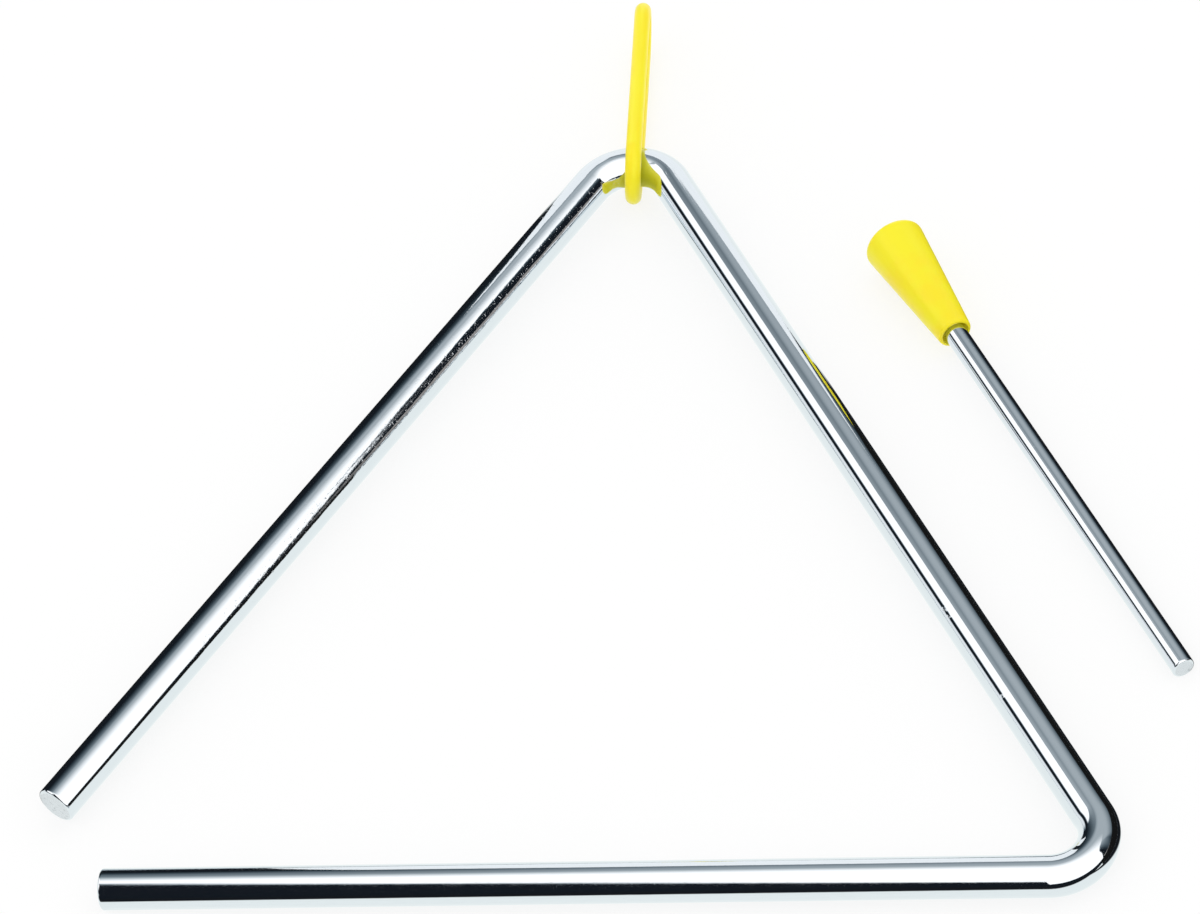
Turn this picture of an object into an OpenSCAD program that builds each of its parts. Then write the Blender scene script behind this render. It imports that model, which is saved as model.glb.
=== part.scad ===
// Triangle instrument: a bent steel rod on a hanging loop, with its beater beside it.
// It lies on a flat surface at z = 0, as it does in the photograph.
// The top bend rests on the lower strand of the loop, which lifts that end of the triangle a little.
// The beater rests on the shoulder of its handle and on the tip of its rod.

/* [Triangle] */
// Side of the triangle, between the points where the middle lines of the legs meet
side_len = 172.7; // [120:0.1:260]
// Diameter of the triangle's rod
rod_d = 6.35; // [4:0.05:9]
// Radius of the bend at the top, to the middle of the rod
top_bend_r = 7.6; // [7:0.1:14]
// Radius of the bend at the right, to the middle of the rod
right_bend_r = 7; // [6:0.1:14]
// Distance from the open corner to the free end of the left leg
left_gap = 17.9; // [12:0.1:30]
// Distance from the open corner to the free end of the bottom leg
bottom_gap = 18.6; // [12:0.1:30]
// How much thinner the rod is in its bends, where it is stretched, on the radius
bend_thinning = 0.02; // [0.01:0.005:0.05]
// Chamfer on the free ends of the rod
rod_chamfer = 0.4; // [0.1:0.05:1]

/* [Hanging loop] */
// Diameter of the loop's strand
strand_d = 2.6; // [1.6:0.1:4]
// Length of the loop over its ends
loop_len = 41; // [28:0.5:70]
// Play between the loop's strands and the rod, on each side
loop_play = 0.32; // [0.2:0.01:0.6]
// Angle that the loop leans over to the right
loop_lean = 8; // [0:0.5:12]
// Angle that the loop is turned to the left on the surface
loop_turn = 2.7; // [0:0.1:8]

/* [Beater rod] */
// Length of the beater over its ends
beater_len = 99.4; // [70:0.1:160]
// Diameter of the beater's rod
beater_d = 3.6; // [2.5:0.05:5]
// Chamfer on both ends of the beater's rod
beater_chamfer = 0.35; // [0.1:0.05:0.8]

/* [Beater handle] */
// Length of the handle
grip_len = 23.1; // [18:0.1:40]
// Diameter of the handle's big end
grip_big_d = 9.8; // [9:0.1:16]
// Diameter of the handle's narrow end
grip_small_d = 5.6; // [5.6:0.1:8]
// Radius of the dome on the big end
dome_r = 14; // [10:0.5:30]
// Radius of the rounded shoulder round the dome
shoulder_r = 1; // [0.5:0.1:2]
// Radius of the rounded rim of the narrow end
rim_r = 0.45; // [0.3:0.05:0.55]
// Width of the recess round the rod in the narrow end
recess_gap = 0.4; // [0.2:0.05:0.45]
// Depth of that recess
recess_depth = 0.9; // [0.5:0.1:2]
// Depth of the rod's socket, from the narrow end
socket_depth = 17.5; // [12:0.1:17.5]
// Bite of the press fit, on the radius
press_bite = 0.02; // [0.01:0.01:0.04]

/* [Place of the beater] */
// Distance between the middle lines of the right leg and of the beater
beater_offset = 25; // [16:0.5:60]
// Distance along the right leg, from the top corner to the beater's big end
beater_along = 42.4; // [10:0.2:60]
// Angle that the beater is turned from the right leg's direction
beater_turn = 0.16; // [0:0.02:3]

/* [Hidden] */
// Facets of a full circle in the mesh, and the step of an arc in a drawn outline
$fn = 64;
arc_step = 10;

// Angle of each corner, and half of it
corner = 60;
half_corner = corner / 2;
// Turn of the rod at each bend
bend_turn = 180 - corner;
// Length by which each bend laps into the legs
bend_lap = rod_d / 32;

rod_r = rod_d / 2;
beater_r = beater_d / 2;

// Height of the top corner over the bottom leg, and of the rod's middle at the top bend
corner_y = side_len * sin(corner);
top_y = corner_y - top_bend_r * (1 / sin(half_corner) - 1);

// Length that each bend takes from the two legs it joins
top_tangent = top_bend_r / tan(half_corner);
right_tangent = right_bend_r / tan(half_corner);

// Straight lengths of the legs, without the chamfers
left_leg = side_len - left_gap - rod_chamfer - top_tangent;
right_leg = side_len - top_tangent - right_tangent;
bottom_leg = side_len - bottom_gap - rod_chamfer - right_tangent;

// Distance between the middles of the loop's two strands, and between the centres of its ends
loop_pitch = rod_d + 2 * loop_play + strand_d;
loop_run = loop_len - loop_pitch - strand_d;
// Height of the loop's middle when its lower strand rests on the surface
loop_mid_z = strand_d / 2 + cos(loop_lean) * loop_pitch / 2;
// Angle that the triangle leans, with its top bend lifted by the loop
lie_tilt = asin((loop_mid_z - rod_r) / top_y);

// The handle's profile, with x out from the axis and y along it from the dome's top
big_r = grip_big_d / 2;
small_r = grip_small_d / 2;
shoulder_x = big_r - shoulder_r;
shoulder_y = dome_r - sqrt(pow(dome_r - shoulder_r, 2) - pow(shoulder_x, 2));
rim_x = small_r - rim_r;
rim_y = grip_len - rim_r;
// Direction square to the flank, which touches both the shoulder and the rim
flank_dx = rim_x - shoulder_x;
flank_dy = rim_y - shoulder_y;
flank_len = norm([flank_dx, flank_dy]);
flank_dir = atan2(flank_dy, flank_dx) - acos((shoulder_r - rim_r) / flank_len);

// Pitch of the beater, resting on its shoulder and on the edge of its tip
rest_run = beater_len - beater_chamfer - shoulder_y;
rest_drop = shoulder_x - beater_r;
beater_pitch = atan2(rest_drop, rest_run) + asin(shoulder_r / norm([rest_run, rest_drop]));
// Height of the beater's axis at its big end
beater_z = shoulder_r + shoulder_x * cos(beater_pitch) + shoulder_y * sin(beater_pitch);
beater_dir = -corner - beater_turn;
// Place of the beater's big end
beater_x = beater_along * cos(corner) + beater_offset * sin(corner);
beater_y = corner_y - beater_along * sin(corner) + beater_offset * cos(corner);

// Row origin: the middle of the whole set, seen from above
low_x = (left_gap + rod_chamfer) * cos(corner) - side_len / 2 - rod_r * sin(corner);
bend_high_x = side_len / 2 - right_tangent + right_bend_r + rod_r;
tip_high_x = beater_x + (beater_len - beater_chamfer) * cos(beater_dir) - beater_r * sin(beater_dir);
high_x = max(bend_high_x, tip_high_x);
low_y = -rod_r;
high_y = top_y * cos(lie_tilt) + (loop_run + loop_pitch / 2) * cos(loop_turn) + strand_d / 2;
centre_x = (low_x + high_x) / 2;
centre_y = (low_y + high_y) / 2;

// Puts the triangle's plane in place: leaning on the loop, with the bottom leg on the surface
module lay_triangle() {
    translate([-centre_x, -centre_y, rod_r])
        rotate([lie_tilt, 0, 0])
            children();
}

// A straight leg that runs along x from zero; what it holds is placed at its far end
module leg(length) {
    rotate([0, 90, 0])
        cylinder(h = length, r = rod_r);
    translate([length, 0, 0])
        children();
}

// The chamfered tip of a free end, which stands at x = 0 and points along x
module free_end() {
    rotate([0, 90, 0])
        cylinder(h = rod_chamfer, r1 = rod_r, r2 = rod_r - rod_chamfer);
}

// A bend to the right from x = 0; what it holds is placed at its far end.
// Its ends lap into the legs, where the thinner section of the bend is out of sight.
module bend(radius) {
    lap_turn = asin(bend_lap / radius);
    translate([0, -radius, 0]) {
        rotate([0, 0, 90 - bend_turn - lap_turn])
            rotate_extrude(angle = bend_turn + 2 * lap_turn)
                translate([radius, 0])
                    circle(r = rod_r - bend_thinning);
        rotate([0, 0, -bend_turn])
            translate([0, radius, 0])
                children();
    }
}

// The rod is built in the order in which it is bent: left leg, top, right leg, right bend, bottom leg
module triangle_rod() {
    tip = left_gap + rod_chamfer;
    color("gainsboro")
        lay_triangle()
            translate([tip * cos(corner) - side_len / 2, tip * sin(corner), 0])
                rotate([0, 0, corner]) {
                    mirror([1, 0, 0])
                        free_end();
                    leg(left_leg)
                        bend(top_bend_r)
                            leg(right_leg)
                                bend(right_bend_r)
                                    leg(bottom_leg)
                                        free_end();
                }
}

// One straight strand of the loop, at a side of its long axis
module strand(side) {
    translate([0, side * loop_pitch / 2, 0])
        rotate([0, 90, 0])
            cylinder(h = loop_run, d = strand_d);
}

// One round end of the loop
module loop_end(first_dir) {
    rotate([0, 0, first_dir])
        rotate_extrude(angle = 180)
            translate([loop_pitch / 2, 0])
                circle(d = strand_d);
}

// The near end goes round the rod, so its centre is on the rod's middle line
module hanging_loop() {
    color("gold")
        translate([-centre_x, top_y * cos(lie_tilt) - centre_y, loop_mid_z])
            rotate([0, loop_lean, loop_turn])
                rotate([90, 0, 90]) {
                    loop_end(90);
                    strand(-1);
                    strand(1);
                    translate([loop_run, 0, 0])
                        loop_end(-90);
                }
}

// Puts the beater in place, from its own axis along z with the big end at zero
module lay_beater() {
    translate([beater_x - centre_x, beater_y - centre_y, beater_z])
        rotate([0, 90 + beater_pitch, beater_dir])
            children();
}

module beater_rod() {
    length = beater_len - grip_len + socket_depth;
    color("gainsboro")
        lay_beater()
            translate([0, 0, grip_len - socket_depth]) {
                cylinder(h = beater_chamfer, r1 = beater_r - beater_chamfer, r2 = beater_r);
                translate([0, 0, beater_chamfer])
                    cylinder(h = length - 2 * beater_chamfer, r = beater_r);
                translate([0, 0, length - beater_chamfer])
                    cylinder(h = beater_chamfer, r1 = beater_r, r2 = beater_r - beater_chamfer);
            }
}

// Points of an arc round a centre, from one direction to another
function arc(centre, radius, from, to) =
    let (steps = ceil(abs(to - from) / arc_step))
    [for (i = [0 : steps])
        let (a = from + (to - from) * i / steps)
        centre + radius * [cos(a), sin(a)]
    ];

// Half of the handle's section: dome, shoulder, straight flank and rounded rim
module grip_profile() {
    dome_end = asin(shoulder_x / (dome_r - shoulder_r)) - 90;
    polygon(concat(
        arc([0, dome_r], dome_r, -90, dome_end),
        arc([shoulder_x, shoulder_y], shoulder_r, dome_end, flank_dir),
        arc([rim_x, rim_y], rim_r, flank_dir, 90),
        [[0, grip_len]]
    ));
}

module beater_handle() {
    color("gold")
        lay_beater()
            difference() {
                rotate_extrude()
                    grip_profile();
                translate([0, 0, grip_len - socket_depth])
                    cylinder(h = socket_depth, r = beater_r - press_bite);
                translate([0, 0, grip_len - recess_depth])
                    cylinder(h = 2 * recess_depth, r = beater_r + recess_gap);
            }
}

triangle_rod();
hanging_loop();
beater_rod();
beater_handle();
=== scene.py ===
"""Triangle instrument: a chrome-plated rod on a yellow hanging loop, with its beater beside it.

The four rigid pieces of the CAD frame are redrawn here as smooth meshes of the same sizes,
dressed in node materials and laid on a plain white surface in a product studio.
"""

import logging
import math
from dataclasses import dataclass, field
from enum import Enum
from functools import partial, reduce

import bmesh
import bpy
from bmesh.types import BMEdge, BMesh, BMVert
from bpy.types import Material, Node, NodeTree, Object
from mathutils import Matrix, Quaternion, Vector


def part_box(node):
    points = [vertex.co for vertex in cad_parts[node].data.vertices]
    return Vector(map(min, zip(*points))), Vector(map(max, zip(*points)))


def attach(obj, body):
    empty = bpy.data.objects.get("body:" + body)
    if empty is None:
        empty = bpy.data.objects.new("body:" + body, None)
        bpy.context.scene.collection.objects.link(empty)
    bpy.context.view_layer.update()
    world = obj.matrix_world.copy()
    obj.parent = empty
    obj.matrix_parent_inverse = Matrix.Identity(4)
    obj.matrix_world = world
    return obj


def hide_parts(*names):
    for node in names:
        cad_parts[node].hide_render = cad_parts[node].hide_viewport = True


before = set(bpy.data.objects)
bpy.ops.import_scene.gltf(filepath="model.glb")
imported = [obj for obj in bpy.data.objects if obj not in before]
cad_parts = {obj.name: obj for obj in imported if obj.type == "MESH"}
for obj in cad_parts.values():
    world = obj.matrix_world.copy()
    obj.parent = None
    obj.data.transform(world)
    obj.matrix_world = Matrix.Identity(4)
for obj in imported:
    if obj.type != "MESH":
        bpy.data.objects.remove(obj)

log = logging.getLogger("triangle")

MM = 0.001
# How close points are when they are merged, in metres
WELD = 0.000001
CORNER = math.radians(60)
# The attribute that holds how far along a rod a point lies, and its place in the section
ROD_COORDS = "rod_coords"

# One input or output of a node, and all of its inputs or outputs
Socket = bpy.types.NodeSocket
Sockets = bpy.types.bpy_prop_collection
# A linear colour with its alpha, a place or direction, and the two ends of a soft edge
Colour = tuple[float, float, float, float]
Triple = tuple[float, float, float]
Stretch = tuple[float, float]

WHITE: Colour = (1.0, 1.0, 1.0, 1.0)


class Body(str, Enum):
    """The bodies of the CAD frame that the pieces move with."""

    TRIANGLE = "triangle"
    LOOP = "loop"
    BEATER = "beater"


class Slot(str, Enum):
    """The record's material slots."""

    CHROME_ROD = "chrome_rod"
    CHROME_BEATER = "chrome_beater"
    YELLOW_LOOP = "yellow_loop"
    YELLOW_HANDLE = "yellow_handle"


# Nodes


@dataclass
class NodeBench:
    """Places shader nodes in one tree and wires them as it goes.

    Args:
        tree: The node tree to work in.
    """

    tree: NodeTree

    def add(self, kind: str, **settings: object) -> Node:
        """Add a node.

        Args:
            kind: The node's type name.
            settings: Properties to set on it.

        Returns:
            The new node.
        """
        node = self.tree.nodes.new(kind)
        for name, value in settings.items():
            setattr(node, name, value)
        return node

    def feed(self, socket: Socket, value: object) -> None:
        """Wire a socket to another one, or write a plain value on it.

        Args:
            socket: The input to fill.
            value: An output socket, or the value itself.
        """
        if isinstance(value, Socket):
            self.tree.links.new(value, socket)
        else:
            socket.default_value = value

    def fill(self, node: Node, values: dict[str, object]) -> None:
        """Feed a node's inputs by their names."""
        for name, value in values.items():
            self.feed(node.inputs[name], value)

    def result(self, kind: str, *values: object, **settings: object) -> Socket:
        """Add a node and feed its inputs in order.

        Args:
            kind: The node's type name.
            values: A socket or a plain value for each of its first inputs.
            settings: Properties to set on it.

        Returns:
            Its first output.
        """
        node = self.add(kind, **settings)
        for socket, value in zip(node.inputs, values):
            self.feed(socket, value)
        return node.outputs[0]

    def sum(self, operation: str, *values: object) -> Socket:
        """Return the result of a Math node."""
        return self.result("ShaderNodeMath", *values, operation=operation)

    def times(self, *values: object) -> Socket:
        """Return the product of any number of values."""
        return reduce(partial(self.sum, "MULTIPLY"), values)

    def most(self, *values: object) -> Socket:
        """Return the largest of any number of values."""
        return reduce(partial(self.sum, "MAXIMUM"), values)

    def invert(self, value: object) -> Socket:
        """Take a share from 1, and return what is left."""
        return self.sum("SUBTRACT", 1.0, value)

    def step(self, value: object, low: object, high: object) -> Socket:
        """Return a share that rises softly from 0 at low to 1 at high."""
        return self.result("ShaderNodeMapRange", value, low, high, 0.0, 1.0,
                           interpolation_type="SMOOTHSTEP")

    def fall(self, value: object, low: object, high: object) -> Socket:
        """Return a share that falls softly from 1 at low to 0 at high."""
        return self.invert(self.step(value, low, high))

    def slope(self, value: object, low: float, high: float, start: float, end: float) -> Socket:
        """Return a straight line from start at low to end at high, which stays flat outside."""
        return self.result("ShaderNodeMapRange", value, low, high, start, end, clamp=True)

    def split(self, vector: object) -> Sockets:
        """Return the x, the y and the z of a vector."""
        return self.result("ShaderNodeSeparateXYZ", vector).node.outputs

    def blend(self, share: object, first: object, second: object, way: str = "MIX") -> Socket:
        """Mix two colours.

        Args:
            share: The second colour's share.
            first: The colour at share 0.
            second: The colour at share 1.
            way: The way of mixing.

        Returns:
            The mixed colour's socket.
        """
        node = self.add("ShaderNodeMix", data_type="RGBA", blend_type=way)
        for place, value in ((0, share), (6, first), (7, second)):
            self.feed(node.inputs[place], value)
        return node.outputs[2]

    def noise(self, vector: object, scale: float, detail: float = 2.0) -> Socket:
        """Place a noise texture.

        Args:
            vector: The socket that holds its coordinates.
            scale: Its scale.
            detail: The number of its finer layers.

        Returns:
            The socket that holds the noise, around 0.5.
        """
        node = self.add("ShaderNodeTexNoise")
        self.fill(node, {"Vector": vector, "Scale": scale, "Detail": detail})
        return node.outputs["Fac"]

    def bump(self, height: object, distance: object) -> Socket:
        """Raise a relief.

        Args:
            height: The relief, from 0 to 1.
            distance: How high 1 stands, in metres.

        Returns:
            The socket that holds the normal.
        """
        node = self.add("ShaderNodeBump")
        self.fill(node, {"Height": height, "Distance": distance, "Strength": 1.0})
        return node.outputs["Normal"]

    def rod(self) -> Socket:
        """Return the coordinates that follow a rod round its bends."""
        return self.add("ShaderNodeAttribute", attribute_name=ROD_COORDS).outputs["Vector"]

    def sights(self) -> tuple[Socket, Socket]:
        """Tell the rays apart.

        Returns:
            The socket that holds 1 for what the camera sees, and that for what metal or glass shows.
        """
        path = self.add("ShaderNodeLightPath").outputs
        mirrored = self.most(path["Is Glossy Ray"], path["Is Transmission Ray"])
        return path["Is Camera Ray"], mirrored

    def surface(self, shader: Socket) -> None:
        """Wire a shader to the material's output."""
        self.feed(self.tree.nodes["Material Output"].inputs["Surface"], shader)


def new_material(name: str) -> tuple[Material, NodeBench, Node]:
    """Make a material with its usual two nodes.

    Args:
        name: The material's name.

    Returns:
        The material, its node bench and its Principled BSDF.
    """
    material = bpy.data.materials.new(name)
    material.use_nodes = True
    return material, NodeBench(material.node_tree), material.node_tree.nodes["Principled BSDF"]


# Materials


class Effect:
    """An effect of the surface that more than one finish uses: a node group, built once."""

    name = ""
    takes: dict[str, float | Triple] = {}
    gives: dict[str, str] = {}

    def wire(self, bench: NodeBench, taken: Sockets) -> dict[str, Socket]:
        """Draw the inside of the group after the sockets of its inputs, and return its outputs."""
        raise NotImplementedError

    def tree(self) -> NodeTree:
        """Build the group at its first use.

        Returns:
            The group.
        """
        tree = bpy.data.node_groups.get(self.name)
        if tree is None:
            tree = bpy.data.node_groups.new(self.name, "ShaderNodeTree")
            for name, value in self.takes.items():
                kind = "NodeSocketVector" if isinstance(value, tuple) else "NodeSocketFloat"
                socket = tree.interface.new_socket(name=name, in_out="INPUT", socket_type=kind)
                socket.default_value = value
            for name, kind in self.gives.items():
                tree.interface.new_socket(name=name, in_out="OUTPUT", socket_type=kind)
            bench = NodeBench(tree)
            inside = self.wire(bench, bench.add("NodeGroupInput").outputs)
            bench.fill(bench.add("NodeGroupOutput"), inside)
        return tree

    def place(self, bench: NodeBench, values: dict[str, object]) -> Sockets:
        """Place the group in a material, with the material's own values.

        Args:
            bench: The material's node bench.
            values: The values of the group's inputs.

        Returns:
            The sockets of the group's outputs.
        """
        node = bench.add("ShaderNodeGroup", node_tree=self.tree())
        bench.fill(node, values)
        return node.outputs


class DrawnRod(Effect):
    """The fine lines that drawing and polishing leave along a plated rod, with a few pits."""

    name = "drawn_rod"
    takes = {"Along": 60.0, "Round": 1400.0, "Height": 0.000002, "Wear": 0.0}
    gives = {"Lines": "NodeSocketFloat", "Pits": "NodeSocketFloat", "Normal": "NodeSocketVector"}
    # The share of the relief that clean plating keeps, the scale of the pits, and how far they sink
    clean: float = 0.15
    pitting: float = 2600.0
    sink: float = 0.3

    def wire(self, bench: NodeBench, taken: Sockets) -> dict[str, Socket]:
        """Stretch a noise along the rod, and scatter pits where it is worn.

        Args:
            bench: The group's node bench.
            taken: The sockets that hold its inputs.

        Returns:
            The sockets that its outputs take, by name.
        """
        rod = bench.rod()
        scale = bench.result("ShaderNodeCombineXYZ", taken["Along"], taken["Round"], taken["Round"])
        spread = bench.result("ShaderNodeVectorMath", rod, scale, operation="MULTIPLY")
        lines = bench.noise(spread, 1.0, 3.0)
        depth = bench.sum("MULTIPLY_ADD", taken["Wear"], 1 - self.clean, self.clean)
        pits = bench.times(bench.step(bench.noise(rod, self.pitting), 0.64, 0.72), depth)
        relief = bench.sum("SUBTRACT", bench.times(lines, depth), bench.times(pits, self.sink))
        return {"Lines": lines, "Pits": pits, "Normal": bench.bump(relief, taken["Height"])}


class MouldedSkin(Effect):
    """The uneven tone and the faint grain of moulded plastic."""

    name = "moulded_skin"
    takes = {"Vector": (0.0, 0.0, 0.0), "Mottle": 160.0, "Grain": 900.0, "Height": 0.00001}
    gives = {"Tone": "NodeSocketFloat", "Grain": "NodeSocketFloat", "Normal": "NodeSocketVector"}

    def wire(self, bench: NodeBench, taken: Sockets) -> dict[str, Socket]:
        """Mix a slow noise for the tone and a fine one for the grain.

        Args:
            bench: The group's node bench.
            taken: The sockets that hold its inputs.

        Returns:
            The sockets that its outputs take, by name.
        """
        grain = bench.noise(taken["Vector"], taken["Grain"])
        tone = bench.step(bench.noise(taken["Vector"], taken["Mottle"], 3.0), 0.38, 0.66)
        return {"Tone": tone, "Grain": grain, "Normal": bench.bump(grain, taken["Height"])}


@dataclass(frozen=True)
class Nick:
    """A small dent in the plating. Sizes in millimetres.

    Args:
        along: Its distance along the rod.
        across: Its place across the section.
        up: Its height in the section.
        reach: Its radius.
        depth: How rough it is, where 1 is worn plating.
    """

    along: float
    across: float
    up: float
    reach: float = 0.5
    depth: float = 3.0


@dataclass(frozen=True)
class ChromeFinish:
    """Bright chrome plating on drawn steel rod.

    Args:
        name: The material's name.
        along: The waves of the drawing lines in a metre along the rod.
        around: The waves of the drawing lines in a metre round it.
        height: The height of the drawing lines, in metres.
        worn: Where wear begins, is full, begins to fade and is gone, in metres along the rod.
        nicks: The dents.
        tint: The metal's linear colour.
        roughness: How rough clean plating is.
        dull: The factor on the tint in the drawing lines.
        haze: The roughness that a pit adds.
    """

    name: str
    along: float = 450.0
    around: float = 2600.0
    height: float = 0.000009
    worn: tuple[float, float, float, float] = (0.0, 0.03, 0.98, 1.0)
    nicks: tuple[Nick, ...] = ()
    tint: Colour = (0.735, 0.79, 0.835, 1.0)
    roughness: float = 0.035
    dull: float = 0.95
    haze: float = 0.12

    def make(self) -> Material:
        """Build the material.

        Returns:
            The new material.
        """
        material, bench, shader = new_material(self.name)
        rod = bench.rod()
        distance, _, _ = bench.split(rod)
        begun, full, fading, gone = self.worn
        wear = bench.times(bench.step(distance, begun, full), bench.step(distance, gone, fading))
        for nick in self.nicks:
            place = (nick.along * MM, nick.across * MM, nick.up * MM)
            apart = bench.result("ShaderNodeVectorMath", rod, place, operation="DISTANCE").node
            near = bench.step(apart.outputs["Value"], nick.reach * MM, 0.5 * nick.reach * MM)
            wear = bench.most(wear, bench.times(near, nick.depth))
        drawn = DrawnRod().place(bench, {
            "Along": self.along, "Round": self.around, "Height": self.height, "Wear": wear})
        dull = tuple(self.dull * part for part in self.tint[:3]) + (1.0,)
        gloss = bench.slope(drawn["Lines"], 0.35, 0.75, self.roughness, 1.8 * self.roughness)
        bench.fill(shader, {
            "Base Color": bench.blend(drawn["Lines"], self.tint, dull),
            "Roughness": bench.sum("MULTIPLY_ADD", drawn["Pits"], self.haze, gloss),
            "Metallic": 1.0,
            "Normal": drawn["Normal"],
        })
        return material


@dataclass(frozen=True)
class CutEndFinish:
    """Plating over a rod's sawn and faced end.

    Args:
        name: The material's name.
        tint: The metal's linear colour.
        pit: The colour in its pits.
        roughness: How rough the end face is.
        pitting: The scale of its pits.
        depth: The depth of its pits, in metres.
    """

    name: str
    tint: Colour = (0.66, 0.7, 0.74, 1.0)
    pit: Colour = (0.46, 0.5, 0.53, 1.0)
    roughness: float = 0.22
    pitting: float = 1800.0
    depth: float = 0.00002

    def make(self) -> Material:
        """Build the material.

        Returns:
            The new material.
        """
        material, bench, shader = new_material(self.name)
        pits = bench.noise(bench.rod(), self.pitting, 4.0)
        bench.fill(shader, {
            "Base Color": bench.blend(bench.step(pits, 0.55, 0.75), self.tint, self.pit),
            "Roughness": bench.slope(pits, 0.3, 0.7, self.roughness, 1.6 * self.roughness),
            "Metallic": 1.0,
            "Normal": bench.bump(pits, self.depth),
        })
        return material


@dataclass(frozen=True)
class MouldedFinish:
    """Soft glossy yellow plastic, straight from the mould.

    Args:
        name: The material's name.
        strand: Whether its streaks follow a strand, and not the object's own axes.
        colour: The plastic's linear colour.
        deep: The warmer colour of its denser streaks.
        roughness: How rough the skin is.
        mottle: The scale of its uneven tone.
        grain: The scale of its grain.
        stretch: The factors on both scales along each axis.
        height: The height of the grain, in metres.
    """

    name: str
    strand: bool = False
    colour: Colour = (0.9473065, 0.838799, 0.0091341, 1.0)
    deep: Colour = (0.9646862, 0.7835378, 0.0080232, 1.0)
    roughness: float = 0.3
    mottle: float = 160.0
    grain: float = 900.0
    stretch: Triple = (1.0, 1.0, 1.0)
    height: float = 0.000008

    def make(self) -> Material:
        """Build the material.

        Returns:
            The new material.
        """
        material, bench, shader = new_material(self.name)
        place = bench.rod() if self.strand else bench.add("ShaderNodeTexCoord").outputs["Object"]
        stretched = bench.add("ShaderNodeMapping")
        bench.fill(stretched, {"Vector": place, "Scale": self.stretch})
        skin = MouldedSkin().place(bench, {
            "Vector": stretched.outputs["Vector"], "Mottle": self.mottle, "Grain": self.grain,
            "Height": self.height})
        bench.fill(shader, {
            "Base Color": bench.blend(skin["Tone"], self.colour, self.deep),
            "Roughness": bench.slope(skin["Grain"], 0.3, 0.7, self.roughness, 1.25 * self.roughness),
            "Specular IOR Level": 0.4,
            "Subsurface Weight": 0.2,
            "Subsurface Radius": (0.9, 1.0, 0.3),
            "Subsurface Scale": 0.002,
            "Normal": skin["Normal"],
        })
        return material


# Modelling


def smooth_out(bm: BMesh) -> None:
    """Shade a closed mesh smooth, and turn its faces outwards.

    Args:
        bm: The mesh.
    """
    for face in bm.faces:
        face.smooth = True
    bmesh.ops.recalc_face_normals(bm, faces=bm.faces)


def set_out(name: str, bm: BMesh, materials: list[Material]) -> Object:
    """Make a Blender object of a finished mesh.

    Args:
        name: The object's name.
        bm: The finished mesh, which is freed.
        materials: Its materials, in the order of their slots.

    Returns:
        The new object.
    """
    mesh = bpy.data.meshes.new(name)
    bm.to_mesh(mesh)
    bm.free()
    for material in materials:
        mesh.materials.append(material)
    thing = bpy.data.objects.new(name, mesh)
    bpy.context.scene.collection.objects.link(thing)
    return thing


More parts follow.
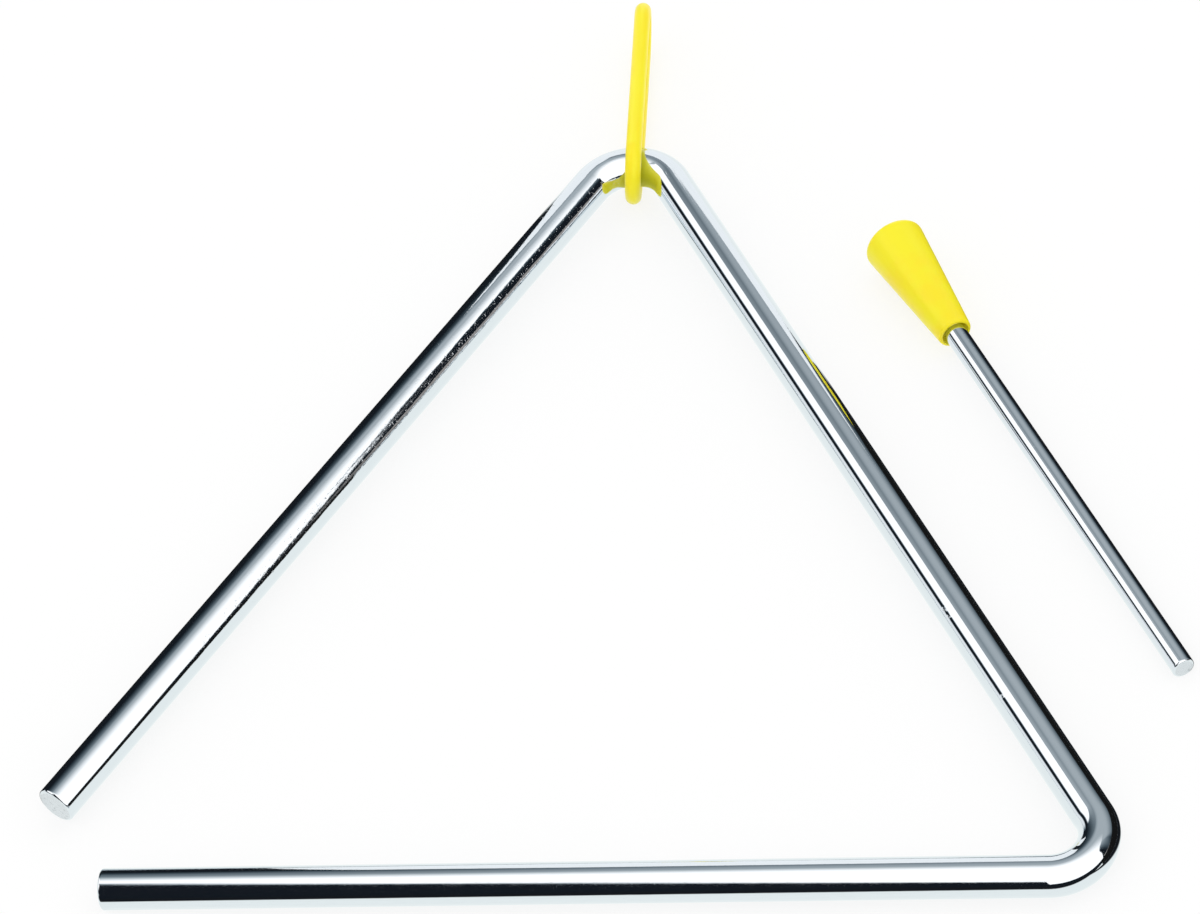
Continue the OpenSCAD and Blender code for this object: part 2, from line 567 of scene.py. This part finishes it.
@dataclass
class RodSweep:
    """Draws a round rod ring by ring, in the order in which it is bent.

    Each ring's points are stamped with their distance along the rod and their place in its
    section, so a material can follow the rod round its bends.

    Args:
        radius: The rod's radius, in metres.
        at: Where the present ring stands, with x along the rod and z up.
        facets: The points of one ring.
        bm: The mesh in work.
        ring: The edges of the present ring.
        length: The distance gone so far.
    """

    radius: float
    at: Matrix
    facets: int = 96
    bm: BMesh = field(default_factory=bmesh.new)
    ring: list[BMEdge] = field(default_factory=list)
    length: float = 0.0

    def begin(self, radius: float) -> None:
        """Lay the first ring.

        Args:
            radius: The ring's radius.
        """
        self.bm.verts.layers.float_vector.new(ROD_COORDS)
        stand = self.at @ Matrix.Rotation(math.pi / 2, 4, "Y")
        made = bmesh.ops.create_circle(self.bm, segments=self.facets, radius=radius, matrix=stand)
        self.ring = list(dict.fromkeys(edge for vert in made["verts"] for edge in vert.link_edges))
        self._stamp()

    def _stamp(self) -> None:
        """Write the present ring's place along and across the rod on its points."""
        layer = self.bm.verts.layers.float_vector[ROD_COORDS]
        home = self.at.inverted()
        for vert in self._points():
            _, across, up = home @ vert.co
            vert[layer] = (self.length, across, up)

    def _points(self) -> list[BMVert]:
        """Return the points of the present ring, each of them once."""
        return list(dict.fromkeys(vert for edge in self.ring for vert in edge.verts))

    def _take(self, geom: list[BMVert | BMEdge]) -> None:
        """Keep the new ring out of an operator's result.

        Args:
            geom: What the operator made.
        """
        fresh = {part for part in geom if isinstance(part, BMVert)}
        edges = (part for part in geom if isinstance(part, BMEdge))
        self.ring = [edge for edge in edges if fresh.issuperset(edge.verts)]

    def run(self, distance: float, widen: float = 1.0) -> None:
        """Extrude the present ring straight on.

        Args:
            distance: How far it goes.
            widen: The factor on its radius.
        """
        self._take(bmesh.ops.extrude_edge_only(self.bm, edges=self.ring)["geom"])
        self.at = self.at @ Matrix.Translation((distance, 0, 0))
        self.length += distance
        points = self._points()
        home = self.at.inverted()
        bmesh.ops.translate(self.bm, verts=points, vec=self.at.to_3x3() @ Vector((distance, 0, 0)))
        bmesh.ops.scale(self.bm, verts=points, vec=(1, widen, widen), space=home)
        self._stamp()

    def leg(self, distance: float, guard: float = 0.0001) -> None:
        """Extrude a straight leg, with a ring close to each end that keeps its shading straight."""
        for part in (guard, distance - 2 * guard, guard):
            self.run(part)

    def bend(self, radius: float, turn: float, steps: int = 36) -> None:
        """Spin the present ring round a bend to the right, one step at a time.

        Args:
            radius: The bend's radius, to the middle of the rod.
            turn: The angle of the bend, in radians.
            steps: The number of steps.
        """
        angle = turn / steps
        out = Matrix.Translation((0, -radius, 0))
        turned = out @ Matrix.Rotation(-angle, 4, "Z") @ out.inverted()
        for _ in range(steps):
            centre = self.at @ Vector((0, -radius, 0))
            axis = self.at.to_3x3() @ Vector((0, 0, -1))
            made = bmesh.ops.spin(self.bm, geom=self.ring + self._points(), cent=centre, axis=axis,
                                  dvec=(0, 0, 0), angle=angle, steps=1, use_merge=False)
            self._take(made["geom_last"])
            self.at = self.at @ turned
            self.length += radius * angle
            self._stamp()

    def open_rim(self, rim: float, steps: int = 4) -> None:
        """Start the rod at a free end with a rounded rim of a radius, in a number of steps."""
        self.begin(self.radius - rim)
        self._round(rim, [math.pi / 2 * step / steps for step in range(steps + 1)])

    def close_rim(self, rim: float, steps: int = 4) -> None:
        """End the rod with a rounded rim of a radius, in a number of steps."""
        self._round(rim, [math.pi / 2 * (1 + step / steps) for step in range(steps + 1)])

    def _round(self, rim: float, angles: list[float]) -> None:
        """Step the ring through part of a rounding.

        Args:
            rim: The radius of the rounding.
            angles: The angles of the steps, from 0 at the opening rim's face.
        """
        core = self.radius - rim
        for last, angle in zip(angles, angles[1:]):
            advance = rim * (math.cos(last) - math.cos(angle))
            self.run(advance, (core + rim * math.sin(angle)) / (core + rim * math.sin(last)))

    def finish(self) -> BMesh:
        """Fill both ends as flat faces with sharp edges, and turn all faces outwards.

        Returns:
            The finished mesh.
        """
        rims = [edge for edge in self.bm.edges if edge.is_boundary]
        caps = bmesh.ops.edgeloop_fill(self.bm, edges=rims, mat_nr=1)["faces"]
        smooth_out(self.bm)
        for cap in caps:
            cap.smooth = False
            for edge in cap.edges:
                edge.smooth = False
        return self.bm

    def join_up(self) -> BMesh:
        """Merge the last ring with the first one, and turn all faces outwards.

        Returns:
            The finished mesh.
        """
        bmesh.ops.remove_doubles(self.bm, verts=self.bm.verts, dist=5 * WELD)
        smooth_out(self.bm)
        return self.bm


@dataclass
class Profile:
    """Half of a lathed section, with x out from the axis and z along it.

    Args:
        bm: The mesh in work.
        last: The outline's last point so far.
    """

    bm: BMesh = field(default_factory=bmesh.new)
    last: BMVert | None = None

    def to(self, out: float, along: float) -> None:
        """Draw the outline on to a point.

        Args:
            out: The distance from the axis, in millimetres.
            along: The place along the axis, in millimetres.
        """
        point = self.bm.verts.new((out * MM, 0, along * MM))
        if self.last is not None:
            self.bm.edges.new((self.last, point))
        self.last = point

    def arc(self, out: float, along: float, radius: float, start: float, end: float, steps: int) -> None:
        """Draw an arc, spun from its first point.

        Args:
            out: The centre's distance from the axis, in millimetres.
            along: The centre's place along the axis, in millimetres.
            radius: The arc's radius, in millimetres.
            start: The direction of the first point, in radians.
            end: The direction of the last point, in radians.
            steps: The number of steps.
        """
        self.to(out + radius * math.cos(start), along + radius * math.sin(start))
        made = bmesh.ops.spin(self.bm, geom=[self.last], cent=(out * MM, 0, along * MM), axis=(0, -1, 0),
                              dvec=(0, 0, 0), angle=end - start, steps=steps, use_merge=False)
        self.last = made["geom_last"][0]

    def line(self, out: float, along: float, guard: float = 0.1) -> None:
        """Draw a straight line to a point, with a point close to each end that keeps it straight.

        Args:
            out: The distance from the axis, in millimetres.
            along: The place along the axis, in millimetres.
            guard: The distance of those points from the ends, in millimetres.
        """
        start = self.last.co / MM
        end = Vector((out, 0, along))
        inset = (end - start).normalized() * guard
        for point in (start + inset, end - inset):
            self.to(point.x, point.z)

    def lathe(self, place: Matrix, steps: int = 128) -> BMesh:
        """Spin the outline round the axis into a closed solid, and put it in its place.

        Args:
            place: The solid's place, with z along its axis.
            steps: The number of steps.

        Returns:
            The finished mesh.
        """
        bmesh.ops.spin(self.bm, geom=self.bm.verts[:] + self.bm.edges[:], cent=(0, 0, 0), axis=(0, 0, 1),
                       dvec=(0, 0, 0), angle=2 * math.pi, steps=steps, use_merge=True)
        bmesh.ops.remove_doubles(self.bm, verts=self.bm.verts, dist=WELD)
        smooth_out(self.bm)
        bmesh.ops.transform(self.bm, matrix=place, verts=self.bm.verts)
        return self.bm


@dataclass
class Piece:
    """A finished piece of the instrument, which stands for its CAD node.

    Args:
        node: The CAD node that it replaces.
        body: The body that it rides on.
        slot: The material slot that it stands for; not used.
        materials: Its materials, in the order of their slots.
    """

    node: str
    body: Body
    slot: Slot
    materials: list[Material]

    def place(self, bm: BMesh) -> Object:
        """Make the Blender object and tie it to the frame.

        Args:
            bm: The finished mesh, which is freed.

        Returns:
            The new object.
        """
        thing = set_out(f"{self.node}_smooth", bm, self.materials)
        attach(thing, self.body.value)
        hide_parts(self.node)
        log.info("%s: %d faces on %s", thing.name, len(thing.data.polygons), self.body.value)
        return thing


# The instrument


@dataclass
class Loop:
    """The hanging loop: one round strand, moulded as a long closed link. Sizes in millimetres.

    Args:
        strand_d: The strand's diameter.
        length: The length over the ends.
        play: The play between the strands and the rod, on each side.
        lean: How far the loop leans over to the right, in degrees.
        turn: How far it is turned to the left, in degrees.
    """

    strand_d: float = 2.6
    length: float = 41.0
    play: float = 0.32
    lean: float = 8.0
    turn: float = 2.7

    def pitch(self, rod_d: float) -> float:
        """Return the distance between the middles of the two strands, for a rod's diameter."""
        return rod_d + 2 * self.play + self.strand_d

    def middle_z(self, rod_d: float) -> float:
        """Return the height of the loop's middle, for a rod's diameter."""
        return self.strand_d / 2 + math.cos(math.radians(self.lean)) * self.pitch(rod_d) / 2

    def build(self, rod_d: float, apex: Vector) -> Object:
        """Sweep the strand round the link and dress it.

        Args:
            rod_d: The diameter of the rod that it hangs on.
            apex: The middle of the rod at the top bend, in metres.

        Returns:
            The finished piece.
        """
        half = self.pitch(rod_d) / 2 * MM
        run = (self.length - self.pitch(rod_d) - self.strand_d) * MM
        lay = (Matrix.Translation(apex)
               @ Matrix.Rotation(math.radians(self.turn), 4, "Z")
               @ Matrix.Rotation(math.radians(self.lean), 4, "Y")
               @ Matrix.Rotation(math.pi / 2, 4, "Z")
               @ Matrix.Rotation(math.pi / 2, 4, "X"))
        sweep = RodSweep(self.strand_d / 2 * MM, lay @ Matrix.Translation((0, half, 0)), facets=48)
        sweep.begin(sweep.radius)
        for _ in range(2):
            sweep.leg(run)
            sweep.bend(half, math.pi, 40)
        plastic = MouldedFinish("loop_plastic", strand=True, stretch=(0.35, 2.5, 2.5), height=0.000003)
        piece = Piece("hanging_loop", Body.LOOP, Slot.YELLOW_LOOP, [plastic.make()])
        return piece.place(sweep.join_up())


@dataclass
class Triangle:
    """The bent rod, open at the lower left corner. Sizes in millimetres.

    Args:
        side: The side, between the points where the middle lines of the legs meet.
        rod_d: The rod's diameter.
        top_bend_r: The radius of the top bend, to the middle of the rod.
        right_bend_r: The radius of the right bend, to the middle of the rod.
        left_gap: The distance from the open corner to the left leg's end.
        bottom_gap: The distance from the open corner to the bottom leg's end.
        thinning: How much thinner the CAD bends are, on the radius.
        rim: The rounding of the free ends.
    """

    side: float = 172.7
    rod_d: float = 6.35
    top_bend_r: float = 7.6
    right_bend_r: float = 7.0
    left_gap: float = 17.9
    bottom_gap: float = 18.6
    thinning: float = 0.02
    rim: float = 0.4

    @property
    def radius(self) -> float:
        """Return the rod's radius."""
        return self.rod_d / 2

    @property
    def corner_y(self) -> float:
        """Return the height of the top corner over the bottom leg, in the triangle's plane."""
        return self.side * math.sin(CORNER)

    @property
    def top_y(self) -> float:
        """Return the height of the rod's middle at the top bend."""
        return self.corner_y - self.top_bend_r

    @property
    def tangents(self) -> tuple[float, float]:
        """Return what the top bend and the right bend take from each of their legs."""
        return self.top_bend_r / math.tan(CORNER / 2), self.right_bend_r / math.tan(CORNER / 2)

    def centre(self) -> Vector:
        """Read the middle of the whole set from the CAD box.

        Returns:
            The middle in the triangle's own plan, in millimetres.
        """
        low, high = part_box("triangle_rod")
        reach = self.side / 2 - self.tangents[1] + self.right_bend_r + self.radius - self.thinning
        return Vector((reach - high.x / MM, -self.radius - low.y / MM, 0))

    def lie(self, middle_z: float) -> Matrix:
        """Work out how the triangle lies, with its top bend on the loop.

        Args:
            middle_z: The height of the rod's middle at the top bend.

        Returns:
            The place of the triangle's plane, in metres.
        """
        tilt = math.asin((middle_z - self.radius) / self.top_y)
        centre = self.centre()
        stand = Vector((-centre.x, -centre.y, self.radius)) * MM
        return Matrix.Translation(stand) @ Matrix.Rotation(tilt, 4, "X")

    def build(self, lie: Matrix, cut_end: Material) -> Object:
        """Sweep the rod from the left leg's end to the bottom leg's end and dress it.

        Args:
            lie: The place of the triangle's plane.
            cut_end: The finish of its end faces.

        Returns:
            The finished piece.
        """
        top, right = self.tangents
        start = lie @ Matrix.Translation((-self.side / 2 * MM, 0, 0)) @ Matrix.Rotation(CORNER, 4, "Z")
        start = start @ Matrix.Translation((self.left_gap * MM, 0, 0))
        sweep = RodSweep(self.radius * MM, start)
        sweep.open_rim(self.rim * MM)
        sweep.leg((self.side - self.left_gap - self.rim - top) * MM)
        sweep.bend(self.top_bend_r * MM, math.pi - CORNER)
        sweep.leg((self.side - top - right) * MM)
        sweep.bend(self.right_bend_r * MM, math.pi - CORNER)
        sweep.leg((self.side - self.bottom_gap - self.rim - right) * MM)
        sweep.close_rim(self.rim * MM)
        nicks = (Nick(260.7, -2.0, 2.46, 0.7), Nick(262.3, -2.1, 2.4), Nick(279.9, -2.0, 2.46))
        chrome = ChromeFinish("triangle_chrome", worn=(0.02, 0.05, 0.145, 0.165), nicks=nicks)
        piece = Piece("triangle_rod", Body.TRIANGLE, Slot.CHROME_ROD, [chrome.make(), cut_end])
        return piece.place(sweep.finish())


@dataclass
class Beater:
    """The beater: a short rod pressed into a tapered handle. Sizes in millimetres.

    Args:
        length: The length over the ends.
        rod_d: The rod's diameter.
        rim: The rounding of the rod's ends.
        grip_len: The handle's length.
        big_d: The diameter of the handle's big end.
        small_d: The diameter of its narrow end.
        dome_r: The radius of the dome on the big end.
        shoulder_r: The radius of the shoulder round the dome.
        lip_r: The radius of the narrow end's rounded lip.
        recess_gap: The width of the recess round the rod.
        recess_depth: The depth of that recess.
        socket_depth: The depth of the rod's socket.
        bite: The bite of the press fit, on the radius.
        offset: The distance from the right leg's middle line.
        along: The distance from the top corner, along the right leg.
        turn: How far it is turned from the right leg's direction, in degrees.
    """

    length: float = 99.4
    rod_d: float = 3.6
    rim: float = 0.35
    grip_len: float = 23.1
    big_d: float = 9.8
    small_d: float = 5.6
    dome_r: float = 14.0
    shoulder_r: float = 1.0
    lip_r: float = 0.45
    recess_gap: float = 0.4
    recess_depth: float = 0.9
    socket_depth: float = 17.5
    bite: float = 0.02
    offset: float = 25.0
    along: float = 42.4
    turn: float = 0.16

    @property
    def shoulder(self) -> tuple[float, float]:
        """Return the place of the shoulder's centre, out from the axis and along it."""
        out = self.big_d / 2 - self.shoulder_r
        return out, self.dome_r - math.sqrt((self.dome_r - self.shoulder_r) ** 2 - out ** 2)

    def lie(self, triangle: Triangle) -> Matrix:
        """Work out how the beater lies, on its shoulder and on its tip.

        Args:
            triangle: The triangle that it lies beside.

        Returns:
            Its place in metres, with z from the big end along the axis.
        """
        out, along = self.shoulder
        run = self.length - self.rim - along
        drop = out - self.rod_d / 2
        pitch = math.atan2(drop, run) + math.asin(self.shoulder_r / math.hypot(run, drop))
        height = self.shoulder_r + out * math.cos(pitch) + along * math.sin(pitch)
        centre = triangle.centre()
        place = Vector((
            self.along * math.cos(CORNER) + self.offset * math.sin(CORNER) - centre.x,
            triangle.corner_y - self.along * math.sin(CORNER) + self.offset * math.cos(CORNER) - centre.y,
            height)) * MM
        return (Matrix.Translation(place)
                @ Matrix.Rotation(-CORNER - math.radians(self.turn), 4, "Z")
                @ Matrix.Rotation(math.pi / 2 + pitch, 4, "Y"))

    def build_rod(self, lie: Matrix, cut_end: Material) -> Object:
        """Sweep the rod and dress it.

        Args:
            lie: The beater's place.
            cut_end: The finish of its end faces.

        Returns:
            The finished piece.
        """
        base = self.grip_len - self.socket_depth
        start = lie @ Matrix.Translation((0, 0, base * MM)) @ Matrix.Rotation(-math.pi / 2, 4, "Y")
        sweep = RodSweep(self.rod_d / 2 * MM, start, facets=72)
        sweep.open_rim(self.rim * MM)
        sweep.leg((self.length - base - 2 * self.rim) * MM)
        sweep.close_rim(self.rim * MM)
        chrome = ChromeFinish("beater_chrome", along=40.0, height=0.000003, roughness=0.06)
        piece = Piece("beater_rod", Body.BEATER, Slot.CHROME_BEATER, [chrome.make(), cut_end])
        return piece.place(sweep.finish())

    def build_handle(self, lie: Matrix) -> Object:
        """Lathe the handle with its recess and socket, and dress it.

        Args:
            lie: The beater's place.

        Returns:
            The finished piece.
        """
        out, along = self.shoulder
        lip_out, lip_along = self.small_d / 2 - self.lip_r, self.grip_len - self.lip_r
        dome_end = math.asin(out / (self.dome_r - self.shoulder_r)) - math.pi / 2
        flank = math.hypot(lip_out - out, lip_along - along)
        flank_dir = math.atan2(lip_along - along, lip_out - out)
        flank_dir -= math.acos((self.shoulder_r - self.lip_r) / flank)
        bore = self.rod_d / 2 - self.bite
        recess = self.rod_d / 2 + self.recess_gap
        half = Profile()
        half.arc(0, self.dome_r, self.dome_r, -math.pi / 2, dome_end, 14)
        half.arc(out, along, self.shoulder_r, dome_end, flank_dir, 12)
        half.line(lip_out + self.lip_r * math.cos(flank_dir),
                  lip_along + self.lip_r * math.sin(flank_dir))
        half.arc(lip_out, lip_along, self.lip_r, flank_dir, math.pi / 2, 8)
        mouth = self.grip_len
        ledge, bottom = mouth - self.recess_depth, mouth - self.socket_depth
        for point in ((recess, mouth), (recess, ledge), (bore, ledge), (bore, bottom), (0, bottom)):
            half.to(*point)
        finishes = [MouldedFinish("handle_plastic").make()]
        return Piece("beater_handle", Body.BEATER, Slot.YELLOW_HANDLE, finishes).place(half.lathe(lie))


# The studio


@dataclass
class Card:
    """A flat card that stands in the studio and that only the chrome sees.

    Args:
        name: Its name.
        corners: Its outline, in metres.
        front: The brightness of the side from which the outline runs against the clock.
        back: The brightness of its other side, or None where that side is clear.
    """

    name: str
    corners: list[Triple]
    front: float
    back: float | None

    def material(self) -> Material:
        """Build the card's glow, which may differ between its sides.

        Returns:
            The new material.
        """
        material, bench, shader = new_material(self.name)
        bench.tree.nodes.remove(shader)
        sides = []
        for glow in (self.front, self.back):
            side = bench.add("ShaderNodeBsdfTransparent" if glow is None else "ShaderNodeEmission")
            if glow is not None:
                bench.fill(side, {"Color": WHITE, "Strength": glow})
            sides.append(side.outputs[0])
        behind = bench.add("ShaderNodeNewGeometry").outputs["Backfacing"]
        bench.surface(bench.result("ShaderNodeMixShader", behind, *sides))
        return material

    def stand(self) -> Object:
        """Stand the card in the studio.

        Returns:
            The card.
        """
        bm = bmesh.new()
        bm.faces.new([bm.verts.new(corner) for corner in self.corners])
        thing = set_out(self.name, bm, [self.material()])
        for sight in ("camera", "diffuse", "shadow", "transmission"):
            setattr(thing, f"visible_{sight}", False)
        return thing


@dataclass
class Studio:
    """The white sweep, its light and the surroundings that the chrome mirrors.

    Args:
        floor_size: The side of the floor, in metres.
        floor_shade: The floor's colour.
        dome: The strength of the even light.
        box: The strength of the soft boxes in a mirror.
        floor_glow: The share of the floor's white that takes no shadow.
        floor_mirrored: The floor's colour in a mirror.
        card_mirrored: The colour of its dark cards in a mirror.
        lens: The camera's focal length, in millimetres.
        eye: The camera's place, in millimetres.
        aim: The camera's azimuth, elevation and roll, in degrees.
    """

    floor_size: float = 8.0
    floor_shade: Colour = (0.97, 0.97, 0.97, 1.0)
    dome: float = 1.05
    box: float = 1.42
    floor_glow: float = 0.8
    floor_mirrored: Colour = (1.04, 1.06, 1.03, 1.0)
    card_mirrored: Colour = (0.01, 0.012, 0.015, 1.0)
    lens: float = 184.26
    eye: Triple = (164.403, -619.642, 717.789)
    aim: Triple = (15.573, 48.201, -13.254)

    def floor(self) -> Object:
        """Lay the floor.

        Returns:
            The floor.
        """
        bm = bmesh.new()
        bmesh.ops.create_grid(bm, x_segments=1, y_segments=1, size=self.floor_size / 2)
        material, bench, shader = new_material("studio_floor")
        bench.fill(shader, {"Base Color": self.floor_shade, "Roughness": 1.0, "Specular IOR Level": 0.0})
        seen, mirrored = bench.sights()
        sheet = bench.blend(self._dark_cards(bench), self.floor_mirrored, self.card_mirrored)
        white = bench.result("ShaderNodeEmission", bench.blend(mirrored, WHITE, sheet))
        share = bench.most(bench.times(seen, self.floor_glow), mirrored)
        bench.surface(bench.result("ShaderNodeMixShader", share, shader.outputs[0], white))
        thing = set_out("studio_floor", bm, [material])
        return thing

    def _dark_cards(self, bench: NodeBench) -> Socket:
        """Lay dark cards on the floor outside the legs, which only the chrome sees.

        They draw the dark outer edges of the rods, up to the free ends. All lengths here are in metres.

        Args:
            bench: The floor's node bench.

        Returns:
            The socket that holds 1 on the cards and 0 beside them.
        """
        x, y, _ = bench.split(bench.add("ShaderNodeTexCoord").outputs["Object"])

        def past(line: Triple, low: float, high: float) -> Socket:
            """Rise from 0 to 1 across a line, given as its normal and its distance."""
            run = bench.sum("MULTIPLY_ADD", x, line[0], bench.sum("MULTIPLY_ADD", y, line[1], line[2]))
            return bench.step(run, low, high)

        left_leg, left_top = (-0.866, 0.5, -0.0373), (-0.875, -0.484, 0.0046)
        right_leg, right_top = (0.866, 0.5, -0.0254), (0.936, -0.352, -0.0215)
        left_tip, beater_tip = (0.5, 0.866, 0.1039), (0.5, -0.866, -0.084)
        bottom_leg = (0, -1, -0.1015)
        left = bench.times(past(left_leg, 0.0035, 0.0055), past(left_top, -0.003, 0.003),
                           past(left_tip, -0.002, 0.002))
        ended = bench.most(bench.invert(past(right_leg, 0.0255, 0.0265)), past(beater_tip, -0.001, 0.001))
        lane = bench.times(past(right_leg, 0.0135, 0.0145), ended)
        right = bench.times(past(right_leg, 0.0035, 0.0055), past(right_top, -0.003, 0.003),
                            bench.invert(lane))
        return bench.most(past(bottom_leg, -0.002, 0.002), left, right)

    def cards(self) -> None:
        """Stand the cards: two white ones to the rear, and low ones that keep the rods apart."""
        white, pale, black = 1.1, 1.04, 0.01
        near = [(-0.058, 0), (-0.027, 0), (-0.027, 0.073), (-0.033, 0.083), (-0.045, 0.092),
                (-0.060, 0.104), (-0.066, 0.100), (-0.062, 0.050)]
        far = [(-0.213, 0), (0.243, 0), (0.243, 0.278), (0.223, 0.288), (0.184, 0.322),
               (0.155, 0.339), (0.124, 0.363), (0.070, 0.425), (0.005, 0.502), (-0.036, 0.550),
               (-0.091, 0.545), (-0.160, 0.511), (-0.213, 0.410)]
        for name, ahead, outline in (("near_card", 0.110, near), ("far_card", 0.600, far)):
            Card(name, [(across, ahead, up) for across, up in outline], white, white).stand()
        dome, grip, neck, tip = (0.0308, 0.0251), (0.0360, 0.0162), (0.0411, 0.0072), (0.098, -0.091)
        fence = 0.0042
        Card("beater_fence", [(*dome, 0), (*tip, 0), (*tip, fence), (*dome, fence)], black, pale).stand()
        Card("beater_screen", [(*grip, fence), (*tip, fence), (*tip, 0.009), (*neck, 0.010)],
             black, None).stand()
        start, end, height = (0.003, -0.013), (-0.036, -0.080), 0.010
        Card("inner_fence", [(*start, 0), (*end, 0), (*end, height), (*start, height)],
             black, None).stand()

    def _surroundings(self, bench: NodeBench) -> Socket:
        """Draw what the chrome mirrors, by direction.

        Azimuth is 0 to the rear and 90 to the right. Overhead shapes are drawn on a level plane,
        by how far they lie across and to the rear for their height.

        Args:
            bench: The world's node bench.

        Returns:
            The socket that holds the colour.
        """
        x, y, z = bench.split(bench.add("ShaderNodeTexCoord").outputs["Generated"])
        degrees = 180 / math.pi
        el = bench.times(bench.sum("ARCSINE", z), degrees)
        az = bench.times(bench.sum("ARCTAN2", x, y), degrees)
        level = bench.most(z, 0.001)
        across = bench.sum("DIVIDE", x, level)
        ahead = bench.sum("DIVIDE", y, level)

        def window(left: Stretch, right: Stretch, low: Stretch | None, high: Stretch) -> Socket:
            """Draw a rectangle, where each side is given by the angles over which it fades."""
            foot = 1.0 if low is None else bench.step(el, *low)
            return bench.times(bench.step(az, *left), bench.fall(az, *right), foot, bench.fall(el, *high))

        # The overhead panel, which fades to the rear, and the dark bowed flag at its front left
        reach = bench.most(bench.sum("SUBTRACT", ahead, bench.times(across, 0.12)), 0.0)
        fade = bench.sum("POWER", bench.sum("DIVIDE", reach, 0.43), 2.8)
        over = bench.sum("DIVIDE", self.box, bench.sum("ADD", fade, 1.0))
        bow = bench.sum("ADD", bench.slope(ahead, -0.75, -0.15, 0.031, 0),
                        bench.slope(ahead, -2.2, -0.75, -0.037, 0))
        from_edge = bench.sum("SUBTRACT", across, bow)
        flag = bench.times(bench.fall(from_edge, -0.287, -0.247), bench.fall(ahead, -0.16, -0.04))
        over = bench.times(over, bench.invert(flag))
        # The dark doorway on the right, under a bent edge, and the dark skirting in front
        edge = bench.sum("ADD", bench.slope(az, 70, 82, 51, 46), bench.slope(az, 82, 87, 0, -5.5))
        edge = bench.sum("ADD", edge, bench.slope(az, 87, 98.3, 0, -31))
        lintel = bench.step(el, bench.sum("SUBTRACT", edge, 0.8), bench.sum("ADD", edge, 0.8))
        over = bench.times(over, bench.most(bench.fall(az, 30, 88), lintel))
        front = bench.step(bench.sum("ABSOLUTE", bench.sum("SUBTRACT", az, 4.0)), 93, 95)
        over = bench.times(over, bench.invert(bench.times(front, bench.fall(el, 7.5, 9))))
        # The dim rear wall
        foot = bench.sum("ADD", bench.slope(az, -27, 12, 36, 2), bench.slope(az, -50, -27, -9, 0))
        wall = bench.times(bench.step(bench.sum("SUBTRACT", el, foot), -4, 42),
                           bench.step(az, -62, -58), bench.fall(az, 58, 70), 0.52)
        glow = bench.most(over, wall)
        # The soft box on the left in its dark frame, and the white sweep under it
        glow = bench.times(glow, bench.invert(window((-125, -118), (-56, -50), None, (58, 62))))
        left = bench.times(window((-122, -118), (-57, -51), (23, 29), (57, 60)), self.box)
        sweep = window((-135, -125), (-60, -45), None, (9.5, 13.5))
        glow = bench.most(glow, left, sweep)
        # The brown table edge in the doorway
        table = window((60, 66), (93.5, 95.5), (1, 4), (13, 15))
        black, brown = (0.009, 0.012, 0.017, 1.0), (0.38, 0.35, 0.33, 1.0)
        light = bench.result("ShaderNodeCombineColor",
                             *(bench.sum("POWER", glow, power) for power in (1.12, 1.0, 0.93)))
        return bench.blend(1.0, light, bench.blend(table, black, brown), "LIGHTEN")

    def light(self) -> None:
        """Set up the world: a white backdrop, even light and the mirrored surroundings."""
        world = bpy.data.worlds.new("studio_light")
        bpy.context.scene.world = world
        world.use_nodes = True
        bench = NodeBench(world.node_tree)
        seen, mirrored = bench.sights()
        even = (self.dome, self.dome, self.dome, 1.0)
        lit = bench.blend(mirrored, even, self._surroundings(bench))
        bench.fill(world.node_tree.nodes["Background"], {
            "Color": bench.blend(seen, lit, WHITE), "Strength": 1.0})

    def camera(self) -> Object:
        """Place the camera at the photograph's viewing angle.

        Returns:
            The camera.
        """
        data = bpy.data.cameras.new("product_camera")
        data.lens = self.lens
        data.sensor_width = 36.0
        thing = bpy.data.objects.new("product_camera", data)
        bpy.context.scene.collection.objects.link(thing)
        azimuth, elevation, roll = (math.radians(angle) for angle in self.aim)
        level = math.cos(elevation)
        back = Vector((math.sin(azimuth) * level, -math.cos(azimuth) * level, math.sin(elevation)))
        thing.location = Vector(self.eye) * MM
        thing.rotation_mode = "QUATERNION"
        thing.rotation_quaternion = (-back).to_track_quat("-Z", "Y") @ Quaternion((0, 0, 1), roll)
        bpy.context.scene.camera = thing
        return thing

    def build(self) -> None:
        """Lay the floor, stand the cards, set the light and place the camera."""
        self.floor()
        self.cards()
        self.light()
        self.camera()
        bpy.context.scene.view_settings.view_transform = "Standard"


def main() -> None:
    """Build the instrument and its studio, and log how many faces each piece has."""
    logging.basicConfig(level=logging.INFO, format="%(name)s: %(message)s")
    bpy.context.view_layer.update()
    triangle = Triangle()
    loop = Loop()
    beater = Beater()
    lie = triangle.lie(loop.middle_z(triangle.rod_d))
    cut_end = CutEndFinish("plated_cut_end").make()
    triangle.build(lie, cut_end)
    loop.build(triangle.rod_d, lie @ Vector((0, triangle.top_y * MM, 0)))
    beater_place = beater.lie(triangle)
    beater.build_rod(beater_place, cut_end)
    beater.build_handle(beater_place)
    Studio().build()


if __name__ == "__main__":
    main()
